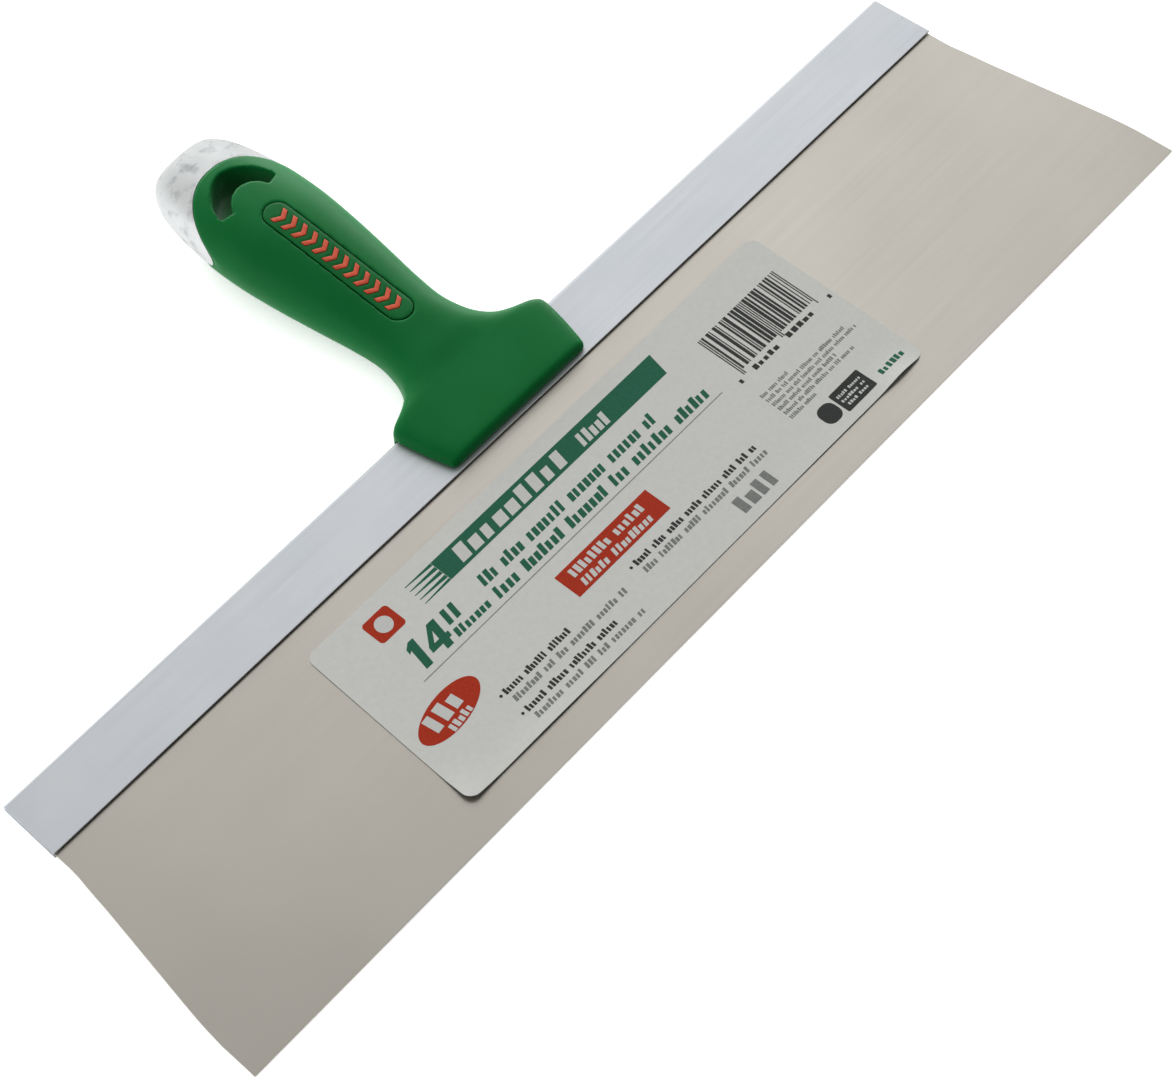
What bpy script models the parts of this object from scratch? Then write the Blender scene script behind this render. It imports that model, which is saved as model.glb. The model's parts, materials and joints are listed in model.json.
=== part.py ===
# Drywall taping knife: a wide stainless blade in a folded aluminium backing strip, riveted into
# a rigid core that carries a soft overmoulded grip and a metal striking cap.
# Metres, +Z up. X runs along the blade, +Y from the cutting edge to the butt, +Z out of the
# labelled face. Shapes are drawn with y = 0 at the strip's lower edge and z = 0 in the middle of
# the blade sheet; one empty then carries them all to the part's own origin.

import math

import bmesh
import bpy
from mathutils import Vector

MM = 0.001
GAP = 0.3 * MM                      # clearance between pieces that touch

# blade
BLADE_THICK = 0.5 * MM
BLADE_REACH = 76.2 * MM             # 3 in of blade below the strip
# right side, cutting edge to the hidden top in the fold: (half width, y) in mm
BLADE_SIDE = [
    (177.8, -76.2), (177.35, -65.0), (176.85, -60.0), (176.35, -56.0), (175.4, -50.0),
    (170.45, -20.0), (169.75, -15.0), (169.15, -11.0), (168.65, -8.0), (168.4, -5.0),
    (168.3, -2.0), (168.1, 2.0), (167.2, 17.4),
]

# folded backing strip
STRIP_HEIGHT = 19.0 * MM
STRIP_WALL = 0.6 * MM
STRIP_TOP_HALF = 167.6 * MM
STRIP_FOOT_HALF = 168.6 * MM
FOLD_RADIUS = BLADE_THICK / 2 + GAP + STRIP_WALL / 2    # of the wall's middle surface
STRIP_HALF_THICK = FOLD_RADIUS + STRIP_WALL / 2
FOLD_STEPS = 8

# rivets through core, strip and blade
RIVET_X = {"left": -15 * MM, "centre": 0.0, "right": 15 * MM}
RIVET_Y = 11 * MM
RIVET_SHANK = 2.0 * MM
RIVET_HEAD = 3.0 * MM
RIVET_HEAD_THICK = 0.6 * MM
RIVET_EDGE = 0.2 * MM               # chamfer of the head
RIVET_SEAT = STRIP_HALF_THICK + GAP + 0.5 * MM          # z of the counterbore's floor

# grip: rows of (y, half width, half thickness, squareness) in mm, foot to butt
GRIP_ROWS = [
    (1.2, 24.2, 3.9, 6.0), (1.8, 25.2, 4.8, 6.0), (3.4, 25.8, 5.2, 6.0), (10.5, 27.5, 5.5, 6.0),
    (17.4, 28.7, 5.8, 5.6), (19.8, 28.5, 5.9, 5.2), (21.4, 26.7, 6.0, 4.8), (23.0, 23.0, 6.1, 4.2),
    (25.4, 18.8, 6.4, 3.6), (29.0, 15.8, 6.9, 3.1), (34.0, 13.9, 7.3, 2.7), (41.0, 12.9, 7.8, 2.5),
    (50.0, 13.6, 8.3, 2.4), (62.0, 15.2, 9.3, 2.35), (75.0, 16.8, 10.4, 2.3),
    (88.0, 17.8, 11.2, 2.3), (100.0, 17.8, 10.8, 2.3), (110.0, 16.9, 9.9, 2.35),
    (117.0, 15.5, 9.1, 2.4), (121.5, 13.8, 8.3, 2.5), (124.6, 11.8, 7.2, 2.6),
    (126.0, 10.2, 6.1, 2.7), (126.4, 9.1, 5.3, 2.7),
]
RING_POINTS = 28
RING_PITCH = 4.0 * MM
SKIN_AT_FOOT = 1.5 * MM             # soft skin's thickness over the strip
SKIN_ON_GRIP = 2.5 * MM
SKIN_RAMP = (20 * MM, 35 * MM)      # y range where it grows from one to the other
SLOT_HALF = STRIP_HALF_THICK + GAP
SLOT_TOP = STRIP_HEIGHT + GAP

# arched end of the grip, where the cap begins
ARCH_BASE = 90.0 * MM
ARCH_HALF = 18.0 * MM
ARCH_RISE = 23.5 * MM
ARCH_POWER = 2.15
ARCH_STEPS = 28

# crescent hang hole
HOLE_BASE = 98.0 * MM
HOLE_HALF = 10.9 * MM
HOLE_RISE = 12.9 * MM
HOLE_POWER = 1.8
HOLE_START = 6                      # degrees above the X axis where the outer curve starts
TONGUE_CENTRE = 96.2 * MM
TONGUE_RADIUS = 6.4 * MM
TONGUE_START = 10                   # degrees
HOLE_LINER = 1.5 * MM               # soft skin around the hole's wall

# striking cap, its flat tang and the pins
CAP_INSET = 0.4 * MM                # the soft grip stands this proud of the metal
TANG_HALF_THICK = 1.5 * MM
TANG_OUTLINE = [(-14, 82), (14, 82), (14, 112), (9, 118), (-9, 118), (-14, 112)]
PIN_X = {"left": -8.5 * MM, "right": 8.5 * MM}
PIN_Y = 87 * MM
PIN_RADIUS = 1.5 * MM
PIN_HALF_LENGTH = 6.0 * MM

# badge in the grip's two faces
BADGE_FROM = 40.0 * MM
BADGE_TO = 92.0 * MM
BADGE_HALF = 4.1 * MM               # half width of the recess
BADGE_PANEL_THICK = 1.2 * MM
BADGE_PLATE_THICK = 0.8 * MM
BADGE_END_STEPS = 10
CHEVRON_COUNT = 12
CHEVRON_FIRST_Y = 43.8 * MM
CHEVRON_PITCH = 3.75 * MM
CHEVRON_HALF = 2.5 * MM
CHEVRON_RISE = 1.5 * MM
CHEVRON_STROKE = 1.5 * MM

# label
LABEL_THICK = 0.15 * MM
LABEL_LIFT = 0.15 * MM
LABEL_CORNERS = [(-93.4, -66.5), (81.5, -66.9), (81.5, -8.1), (-90.2, -7.8)]
LABEL_CORNER_RADIUS = 3.0 * MM

FAR = 60 * MM                       # how far a cutter runs past what it cuts

# sRGB colour, roughness, metallic
FINISHES = {
    "satin_stainless": ((0.71, 0.70, 0.66), 0.38, 1.0),
    "satin_aluminium": ((0.79, 0.81, 0.83), 0.45, 1.0),
    "rivet_steel": ((0.62, 0.62, 0.62), 0.35, 1.0),
    "core_plastic": ((0.10, 0.11, 0.11), 0.55, 0.0),
    "soft_green": ((0.13, 0.45, 0.25), 0.55, 0.0),
    "polished_zinc": ((0.86, 0.87, 0.88), 0.18, 1.0),
    "badge_red": ((0.78, 0.25, 0.13), 0.45, 0.0),
    "label_film": ((0.83, 0.84, 0.82), 0.40, 0.0),
}


# ---- scene helpers

def new_collection(name):
    collection = bpy.data.collections.new(name)
    bpy.context.scene.collection.children.link(collection)
    return collection


def linear(channel):
    return channel / 12.92 if channel <= 0.04045 else ((channel + 0.055) / 1.055) ** 2.4


def make_material(name):
    colour, roughness, metallic = FINISHES[name]
    material = bpy.data.materials.new(name)
    material.use_nodes = True
    shader = material.node_tree.nodes["Principled BSDF"]
    shader.inputs["Base Color"].default_value = (*map(linear, colour), 1.0)
    shader.inputs["Roughness"].default_value = roughness
    shader.inputs["Metallic"].default_value = metallic
    return material


def add_object(name, mesh, collection):
    obj = bpy.data.objects.new(name, mesh)
    collection.objects.link(obj)
    obj.parent = knife_frame
    return obj


def add_part(name, mesh, finish, smooth=True):
    part = add_object(name, mesh, parts)
    part.data.materials.append(materials[finish])
    if smooth:
        part.data.shade_smooth()
        part.data.set_sharp_from_angle(angle=math.radians(30))
    return part


def add_cutter(name, mesh):
    cutter = add_object(name, mesh, cutters)
    cutter.hide_render = True
    cutter.display_type = "WIRE"
    return cutter


def combine(target, operation, *tools):
    for tool in tools:
        modifier = target.modifiers.new(f"{operation.lower()}_{tool.name}", "BOOLEAN")
        modifier.operation = operation
        modifier.object = tool


# ---- outlines, as lists of (x, y) in metres, counter-clockwise

def arc(centre, radius, start, end, steps):
    turns = [math.radians(start + (end - start) * i / steps) for i in range(steps + 1)]
    return [(centre[0] + radius * math.cos(t), centre[1] + radius * math.sin(t)) for t in turns]


def grow(outline, distance):
    """Move each side of a closed outline outward by the same distance."""
    grown = []
    for i, point in enumerate(outline):
        here = Vector(point)
        before = (here - Vector(outline[i - 1])).normalized()
        after = (Vector(outline[(i + 1) % len(outline)]) - here).normalized()
        out_before = Vector((before.y, -before.x))
        out_after = Vector((after.y, -after.x))
        corner = (out_before + out_after) / (1 + out_before.dot(out_after))
        grown.append(tuple(here + corner * distance))
    return grown


def rounded(corners, radius, steps=5):
    """Replace each corner of an outline with an arc."""
    outline = []
    for i, corner in enumerate(corners):
        here = Vector(corner)
        to_before = (Vector(corners[i - 1]) - here).normalized()
        to_after = (Vector(corners[(i + 1) % len(corners)]) - here).normalized()
        half_angle = to_before.angle(to_after) / 2
        centre = here + (to_before + to_after).normalized() * radius / math.sin(half_angle)
        first = here + to_before * radius / math.tan(half_angle) - centre
        last = here + to_after * radius / math.tan(half_angle) - centre
        start = math.degrees(math.atan2(first.y, first.x))
        end = math.degrees(math.atan2(last.y, last.x))
        end += 360 if end < start else 0
        outline += arc(centre, radius, start, end, steps)
    return outline


def power_arc(base, half, rise, power, start, steps):
    """The upper half of a superellipse, from right to left, starting some degrees up."""
    points = []
    for i in range(steps + 1):
        turn = math.radians(start + (180 - 2 * start) * i / steps)
        across = math.copysign(abs(math.cos(turn)) ** (2 / power), math.cos(turn))
        points.append((half * across, base + rise * abs(math.sin(turn)) ** (2 / power)))
    return points


def blade_outline():
    right = [(half * MM, y * MM) for half, y in BLADE_SIDE]
    return right + [(-x, y) for x, y in reversed(right)]


def crescent_outline():
    over = power_arc(HOLE_BASE, HOLE_HALF, HOLE_RISE, HOLE_POWER, HOLE_START, 22)
    back = arc((0, TONGUE_CENTRE), TONGUE_RADIUS, 180 - TONGUE_START, TONGUE_START, 14)
    return over + back


def arch_outline(clearance):
    """Everything past the arch, kept clear of it by the given distance."""
    arch = power_arc(ARCH_BASE, ARCH_HALF + clearance, ARCH_RISE + clearance, ARCH_POWER, 0, ARCH_STEPS)
    around = [(-FAR, ARCH_BASE), (-FAR, 3 * FAR), (FAR, 3 * FAR), (FAR, ARCH_BASE)]
    return (arch + around)[::-1]


def badge_outline():
    low = BADGE_FROM + BADGE_HALF
    high = BADGE_TO - BADGE_HALF
    bottom = arc((0, low), BADGE_HALF, 180, 360, BADGE_END_STEPS)
    return bottom + arc((0, high), BADGE_HALF, 0, 180, BADGE_END_STEPS)


def chevron_outline(index):
    y = CHEVRON_FIRST_Y + index * CHEVRON_PITCH
    return [
        (-CHEVRON_HALF, y + CHEVRON_RISE), (0, y), (CHEVRON_HALF, y + CHEVRON_RISE),
        (CHEVRON_HALF, y + CHEVRON_RISE + CHEVRON_STROKE), (0, y + CHEVRON_STROKE),
        (-CHEVRON_HALF, y + CHEVRON_RISE + CHEVRON_STROKE),
    ]


# ---- meshes

def slab(outlines, low, high):
    """A flat plate from closed outlines, the first one the edge and the rest holes."""
    curve = bpy.data.curves.new("slab", "CURVE")
    curve.dimensions = "2D"
    curve.fill_mode = "BOTH"
    curve.extrude = (high - low) / 2
    for outline in outlines:
        spline = curve.splines.new("POLY")
        spline.points.add(len(outline) - 1)
        for point, (x, y) in zip(spline.points, outline):
            point.co = (x, y, 0, 1)
        spline.use_cyclic_u = True
    holder = bpy.data.objects.new("slab", curve)
    bpy.context.scene.collection.objects.link(holder)
    evaluated = holder.evaluated_get(bpy.context.evaluated_depsgraph_get())
    mesh = bpy.data.meshes.new_from_object(evaluated)
    bpy.data.objects.remove(holder)
    bpy.data.curves.remove(curve)
    shell = bmesh.new()
    shell.from_mesh(mesh)
    bmesh.ops.translate(shell, vec=(0, 0, (low + high) / 2), verts=shell.verts)
    bmesh.ops.remove_doubles(shell, verts=shell.verts, dist=0.01 * MM)
    bmesh.ops.recalc_face_normals(shell, faces=shell.faces)
    shell.to_mesh(mesh)
    shell.free()
    return mesh


def rod(radius, length, segments=20):
    """A cylinder along Z, centred on the origin."""
    shape = bmesh.new()
    bmesh.ops.create_cone(
        shape, cap_ends=True, segments=segments, radius1=radius, radius2=radius, depth=length
    )
    mesh = bpy.data.meshes.new("rod")
    shape.to_mesh(mesh)
    shape.free()
    return mesh


def block(low, high):
    """A box between two corners."""
    shape = bmesh.new()
    bmesh.ops.create_cube(shape, size=1)
    for vert in shape.verts:
        vert.co = [low[i] + (high[i] - low[i]) * (vert.co[i] + 0.5) for i in range(3)]
    mesh = bpy.data.meshes.new("block")
    shape.to_mesh(mesh)
    shape.free()
    return mesh


def spline_value(p0, p1, p2, p3, t):
    """Catmull-Rom between p1 and p2."""
    return p1 + 0.5 * t * (p2 - p0 + t * (2 * p0 - 5 * p1 + 4 * p2 - p3 + t * (3 * (p1 - p2) + p3 - p0)))


def grip_profile():
    """The rows, sampled on a smooth curve through them, in metres."""
    rows = [(y * MM, half * MM, thick * MM, square) for y, half, thick, square in GRIP_ROWS]
    ends = [rows[0]] + rows + [rows[-1]]
    sampled = []
    for i in range(len(rows) - 1):
        four = ends[i:i + 4]
        steps = max(1, round((rows[i + 1][0] - rows[i][0]) / RING_PITCH))
        for k in range(steps):
            sampled.append(tuple(spline_value(*(row[j] for row in four), k / steps) for j in range(4)))
    return sampled + [rows[-1]]


def skin(y):
    low, high = SKIN_RAMP
    share = min(1, max(0, (y - low) / (high - low)))
    return SKIN_AT_FOOT + (SKIN_ON_GRIP - SKIN_AT_FOOT) * share


def grip_loft(inset):
    """The grip's outer form, shrunk by inset(y) all round, as a loft of superelliptic rings."""
    profile = grip_profile()
    bottom = profile[0][0] + inset(profile[0][0])
    top = profile[-1][0] - inset(profile[-1][0])
    rings = []
    for i, (y, half, thick, square) in enumerate(profile):
        before = profile[max(0, i - 1)]
        after = profile[min(len(profile) - 1, i + 1)]
        along = Vector((after[0] - before[0], after[1] - before[1])).normalized()
        depth = inset(y)
        ring = [y + along.y * depth, half - along.x * depth, thick - depth, square]
        ring[0] = min(max(ring[0], bottom), top)
        if rings and ring[0] < rings[-1][0] + 0.15 * MM:
            continue
        rings.append(ring)
    shape = bmesh.new()
    loops = []
    for y, half, thick, square in rings:
        loop = []
        for k in range(RING_POINTS):
            turn = 2 * math.pi * (k + 0.5) / RING_POINTS
            x = math.copysign(abs(math.cos(turn)) ** (2 / square), math.cos(turn)) * half
            z = math.copysign(abs(math.sin(turn)) ** (2 / square), math.sin(turn)) * thick
            loop.append(shape.verts.new((x, y, z)))
        loops.append(loop)
    for low, high in zip(loops, loops[1:]):
        for k in range(RING_POINTS):
            after = (k + 1) % RING_POINTS
            shape.faces.new((low[k], high[k], high[after], low[after]))
    shape.faces.new(loops[0])
    shape.faces.new(loops[-1][::-1])
    bmesh.ops.recalc_face_normals(shape, faces=shape.faces)
    mesh = bpy.data.meshes.new("grip_form")
    shape.to_mesh(mesh)
    shape.free()
    return mesh


# ---- the pieces

def make_blade():
    holes = [arc((x, RIVET_Y), RIVET_SHANK + GAP, 0, 342, 19) for x in RIVET_X.values()]
    mesh = slab([blade_outline()] + holes, -BLADE_THICK / 2, BLADE_THICK / 2)
    add_part("blade", mesh, "satin_stainless", smooth=False)


def make_strip():
    """A U section open downwards, given its wall by Solidify."""
    fold_y = STRIP_HEIGHT - STRIP_WALL / 2 - FOLD_RADIUS
    section = [(0, FOLD_RADIUS)]
    for y, z in arc((fold_y, 0), FOLD_RADIUS, 90, -90, FOLD_STEPS):
        section.append((y, z))
    section.append((0, -FOLD_RADIUS))
    shape = bmesh.new()
    rows = []
    for y, z in section:
        half = STRIP_FOOT_HALF + (STRIP_TOP_HALF - STRIP_FOOT_HALF) * y / STRIP_HEIGHT
        rows.append([shape.verts.new((x, y, z)) for x in (-half, half)])
    for low, high in zip(rows, rows[1:]):
        shape.faces.new((low[0], low[1], high[1], high[0]))
    mesh = bpy.data.meshes.new("strip")
    shape.to_mesh(mesh)
    shape.free()
    strip = add_part("backing_strip", mesh, "satin_aluminium")
    wall = strip.modifiers.new("wall", "SOLIDIFY")
    wall.thickness = STRIP_WALL
    wall.offset = 0
    wall.use_even_offset = True
    combine(strip, "DIFFERENCE", *rivet_holes)


def make_rivets():
    """Turned rivets, the section drawn down the outer side and swept round the Z axis."""
    foot = RIVET_SEAT
    head_top = foot + RIVET_HEAD_THICK
    section = [
        (0, head_top), (RIVET_HEAD - RIVET_EDGE, head_top), (RIVET_HEAD, head_top - RIVET_EDGE),
        (RIVET_HEAD, foot), (RIVET_SHANK, foot), (RIVET_SHANK, -foot), (RIVET_HEAD, -foot),
        (RIVET_HEAD, RIVET_EDGE - head_top), (RIVET_HEAD - RIVET_EDGE, -head_top), (0, -head_top),
    ]
    mesh = bpy.data.meshes.new("rivet")
    edges = [(i, i + 1) for i in range(len(section) - 1)]
    mesh.from_pydata([(x, 0, z) for x, z in section], edges, [])
    for side, x in RIVET_X.items():
        rivet = add_part(f"core_rivet_{side}", mesh.copy(), "rivet_steel", smooth=False)
        rivet.location = (x, RIVET_Y, 0)
        turn = rivet.modifiers.new("turn", "SCREW")
        turn.steps = 20
        turn.render_steps = 20
        turn.use_merge_vertices = True
        turn.merge_threshold = 0.00001


def make_core():
    core = add_part("handle_core", grip_loft(lambda y: skin(y) + GAP), "core_plastic")
    combine(core, "DIFFERENCE", strip_slot, past_arch, hole_in_core, tang_slot)
    combine(core, "DIFFERENCE", *rivet_holes, *rivet_seats, *pin_holes)


def make_grip():
    cavity = add_cutter("grip_cavity", grip_loft(skin))
    combine(cavity, "DIFFERENCE", liner_form)
    grip = add_part("soft_grip", grip_loft(lambda y: 0), "soft_green")
    combine(grip, "DIFFERENCE", cavity, strip_slot, past_arch, hang_hole, *badge_recesses)


def make_cap():
    cap = add_part("hammer_cap", grip_loft(lambda y: CAP_INSET), "polished_zinc")
    tang = add_cutter("tang_form", slab([[(x * MM, y * MM) for x, y in TANG_OUTLINE]],
                                        -TANG_HALF_THICK, TANG_HALF_THICK))
    combine(cap, "INTERSECT", cap_room)
    combine(cap, "UNION", tang)
    combine(cap, "DIFFERENCE", hole_in_core, *pin_holes)


def make_pins():
    for side, x in PIN_X.items():
        shank = rod(PIN_RADIUS, 2 * PIN_HALF_LENGTH)
        pin = add_part(f"cap_pin_{side}", shank, "rivet_steel", smooth=False)
        pin.location = (x, PIN_Y, 0)


def make_badges():
    """On each face a green panel with chevron windows, and a red insert that fills them."""
    plate_top = BADGE_PANEL_THICK + GAP
    plate_foot = plate_top + BADGE_PLATE_THICK
    under_panel = add_cutter("under_panel", grip_loft(lambda y: BADGE_PANEL_THICK))
    over_plate = add_cutter("over_plate", grip_loft(lambda y: plate_top))
    under_plate = add_cutter("under_plate", grip_loft(lambda y: plate_foot))
    for side, low, high in (("front", 0, FAR), ("back", -FAR, 0)):
        panel_slab = slab([grow(badge_outline(), -GAP)], low, high)
        insert_slab = slab([grow(badge_outline(), -2 * GAP)], low, high)
        panel = add_part(f"badge_panel_{side}", panel_slab, "soft_green")
        insert = add_part(f"badge_insert_{side}", insert_slab, "badge_red")
        combine(panel, "INTERSECT", grip_form)
        combine(panel, "DIFFERENCE", under_panel)
        combine(insert, "INTERSECT", over_plate)
        for i in range(CHEVRON_COUNT):
            window_slab = slab([grow(chevron_outline(i), GAP)], 2 * low, 2 * high)
            combine(panel, "DIFFERENCE", add_cutter(f"window_{side}_{i}", window_slab))
        bar_low, bar_high = (MM, FAR / 2) if side == "front" else (-FAR / 2, -MM)
        chevrons = [slab([chevron_outline(i)], bar_low, bar_high) for i in range(CHEVRON_COUNT)]
        joined = bmesh.new()
        for mesh in chevrons:
            joined.from_mesh(mesh)
        bars_mesh = bpy.data.meshes.new("bars")
        joined.to_mesh(bars_mesh)
        joined.free()
        bars = add_cutter(f"bars_{side}", bars_mesh)
        combine(bars, "INTERSECT", grip_form)
        combine(insert, "UNION", bars)
        combine(insert, "DIFFERENCE", under_plate)


def make_label():
    corners = [(x * MM, y * MM) for x, y in LABEL_CORNERS]
    low = BLADE_THICK / 2 + LABEL_LIFT
    mesh = slab([rounded(corners, LABEL_CORNER_RADIUS)], low, low + LABEL_THICK)
    add_part("blade_label", mesh, "label_film", smooth=False)


# ---- build

for old in list(bpy.data.objects):
    bpy.data.objects.remove(old)

parts = new_collection("taping_knife")
cutters = new_collection("cutters")
materials = {name: make_material(name) for name in FINISHES}

knife_frame = bpy.data.objects.new("knife_frame", None)
parts.objects.link(knife_frame)
butt_y = GRIP_ROWS[-1][0] * MM - CAP_INSET
grip_form = add_cutter("grip_form", grip_loft(lambda y: 0))
grip_half_thick = max(vert.co.z for vert in grip_form.data.vertices)
knife_frame.location = (0, (BLADE_REACH - butt_y) / 2, grip_half_thick)

strip_slot = add_cutter("strip_slot", block((-FAR, -FAR, -SLOT_HALF), (FAR, SLOT_TOP, SLOT_HALF)))
past_arch = add_cutter("past_arch", slab([arch_outline(0)], -FAR, FAR))
cap_room = add_cutter("cap_room", slab([arch_outline(GAP)], -FAR, FAR))
hang_hole = add_cutter("hang_hole", slab([crescent_outline()], -FAR, FAR))
liner_form = add_cutter("liner_form", slab([grow(crescent_outline(), HOLE_LINER)], -FAR, FAR))
hole_in_core = add_cutter("hole_in_core", slab([grow(crescent_outline(), HOLE_LINER + GAP)], -FAR, FAR))
tang_low = min(y for _, y in TANG_OUTLINE) * MM - GAP
tang_room = TANG_HALF_THICK + GAP
tang_slot = add_cutter("tang_slot", block((-FAR, tang_low, -tang_room), (FAR, 3 * FAR, tang_room)))
badge_recesses = [
    add_cutter("badge_recess_front", slab([badge_outline()], 0, FAR)),
    add_cutter("badge_recess_back", slab([badge_outline()], -FAR, 0)),
]

rivet_holes, rivet_seats, pin_holes = [], [], []
for side, x in RIVET_X.items():
    hole = add_cutter(f"rivet_hole_{side}", rod(RIVET_SHANK + GAP, FAR))
    hole.location = (x, RIVET_Y, 0)
    rivet_holes.append(hole)
    for face in (-1, 1):
        seat = add_cutter(f"rivet_seat_{side}_{face + 1}", rod(RIVET_HEAD + GAP, FAR))
        seat.location = (x, RIVET_Y, face * (RIVET_SEAT - GAP + FAR / 2))
        rivet_seats.append(seat)
for side, x in PIN_X.items():
    hole = add_cutter(f"pin_hole_{side}", rod(PIN_RADIUS + GAP, 2 * (PIN_HALF_LENGTH + GAP)))
    hole.location = (x, PIN_Y, 0)
    pin_holes.append(hole)

make_blade()
make_strip()
make_rivets()
make_core()
make_grip()
make_cap()
make_pins()
make_badges()
make_label()
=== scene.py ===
# Drywall taping knife: how it looks. Each piece is drawn in millimetres, with y = 0 at the
# strip's lower edge and z = 0 in the middle of the blade sheet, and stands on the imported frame.
import json
import math
import random

import bmesh
import bpy
import numpy as np
from mathutils import Matrix, Vector
from mathutils.geometry import delaunay_2d_cdt

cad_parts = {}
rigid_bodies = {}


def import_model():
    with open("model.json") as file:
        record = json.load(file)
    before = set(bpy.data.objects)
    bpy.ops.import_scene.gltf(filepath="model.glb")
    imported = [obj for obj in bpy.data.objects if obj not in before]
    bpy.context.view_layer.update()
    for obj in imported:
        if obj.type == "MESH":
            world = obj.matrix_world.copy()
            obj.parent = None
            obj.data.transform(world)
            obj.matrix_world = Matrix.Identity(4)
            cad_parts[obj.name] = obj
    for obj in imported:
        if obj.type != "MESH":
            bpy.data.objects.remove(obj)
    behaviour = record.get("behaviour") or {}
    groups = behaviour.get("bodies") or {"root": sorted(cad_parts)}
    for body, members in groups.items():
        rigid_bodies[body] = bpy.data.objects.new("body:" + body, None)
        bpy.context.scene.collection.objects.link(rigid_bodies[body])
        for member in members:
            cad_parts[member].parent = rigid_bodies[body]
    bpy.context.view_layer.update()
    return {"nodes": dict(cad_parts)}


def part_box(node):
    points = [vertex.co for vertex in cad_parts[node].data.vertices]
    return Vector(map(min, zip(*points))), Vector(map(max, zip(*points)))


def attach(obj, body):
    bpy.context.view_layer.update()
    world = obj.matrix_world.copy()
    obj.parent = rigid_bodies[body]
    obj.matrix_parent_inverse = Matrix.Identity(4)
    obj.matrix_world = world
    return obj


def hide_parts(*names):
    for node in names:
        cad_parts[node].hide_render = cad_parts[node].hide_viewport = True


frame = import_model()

mm = 0.001
stripLow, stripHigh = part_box("backing_strip")
bladeLow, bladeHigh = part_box("blade")
knifeOrigin = Vector((0, stripLow.y, (bladeLow.z + bladeHigh.z) / 2))
bladeFace = (bladeHigh.z - bladeLow.z) / 2 / mm      # z of the labelled face
print("frame loaded")


# colours and nodes

def linearColour(code):
    channels = [int(code[i:i + 2], 16) / 255 for i in (1, 3, 5)]
    return [c / 12.92 if c <= 0.04045 else ((c + 0.055) / 1.055) ** 2.4 for c in channels] + [1]


def perSize(millimetres):
    # texture scale that gives features of about this size on coordinates in metres
    return 1 / (millimetres * mm)


def addNode(tree, kind, inputs=None, **settings):
    node = tree.nodes.new("ShaderNode" + kind)
    for name, value in settings.items():
        setattr(node, name, value)
    for key, value in (inputs or {}).items():
        if isinstance(value, bpy.types.NodeSocket):
            tree.links.new(value, node.inputs[key])
        else:
            node.inputs[key].default_value = value
    return node


def newMaterial(name, colour, **constants):
    material = bpy.data.materials.new(name)
    material.use_nodes = True
    tree = material.node_tree
    shader = tree.nodes["Principled BSDF"]
    shader.inputs["Base Color"].default_value = linearColour(colour)
    for socket, value in constants.items():
        shader.inputs[socket.replace("_", " ")].default_value = value
    return material, tree, shader


def objectPlace(tree, stretch=(1, 1, 1)):
    # the piece's own coordinates in metres, stretched for a grain that runs along one axis
    place = addNode(tree, "TexCoord").outputs["Object"]
    return addNode(tree, "Mapping", {"Vector": place, "Scale": stretch}).outputs["Vector"]


def noiseAt(tree, place, size, detail=3.0, roughness=0.5, low=0.3, high=0.7):
    # noise of a size in mm, with its middle stretched to run from 0 to 1
    noise = addNode(tree, "TexNoise", {
        "Vector": place, "Scale": perSize(size), "Detail": detail, "Roughness": roughness})
    spread = addNode(tree, "MapRange", {
        "Value": noise.outputs["Fac"], "From Min": low, "From Max": high}, clamp=True)
    return spread.outputs["Result"]


def mixColours(tree, share, first, second):
    # from the first colour to the second as the share goes from 0 to 1
    mix = addNode(tree, "Mix", {
        0: share, 6: linearColour(first), 7: linearColour(second)}, data_type="RGBA")
    return mix.outputs[2]


def scaled(tree, value, low, high):
    # a value from 0 to 1 spread from low to high
    return addNode(tree, "MapRange", {"Value": value, "To Min": low, "To Max": high}).outputs["Result"]


def addBump(tree, shader, height, depth, strength):
    bump = addNode(tree, "Bump", {"Height": height, "Distance": depth * mm, "Strength": strength})
    tree.links.new(bump.outputs["Normal"], shader.inputs["Normal"])


# outlines in mm, as lists of (x, y)

def arc(centre, radius, start, end, steps):
    turns = [math.radians(start + (end - start) * i / steps) for i in range(steps + 1)]
    return [(centre[0] + radius * math.cos(t), centre[1] + radius * math.sin(t)) for t in turns]


def drilled(x, y, radius):
    # a ring of 20 points
    return arc((x, y), radius, 0, 342, 19)


def rotated(points, at, degrees):
    turn = math.radians(degrees)
    return [(at[0] + x * math.cos(turn) - y * math.sin(turn),
             at[1] + x * math.sin(turn) + y * math.cos(turn)) for x, y in points]


def grow(outline, distance):
    # each side of a counter-clockwise outline moves outward by the same distance
    grown = []
    for i, point in enumerate(outline):
        here = Vector(point)
        before = (here - Vector(outline[i - 1])).normalized()
        after = (Vector(outline[(i + 1) % len(outline)]) - here).normalized()
        outBefore = Vector((before.y, -before.x))
        outAfter = Vector((after.y, -after.x))
        corner = (outBefore + outAfter) / (1 + outBefore.dot(outAfter))
        grown.append(tuple(here + corner * distance))
    return grown


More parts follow.
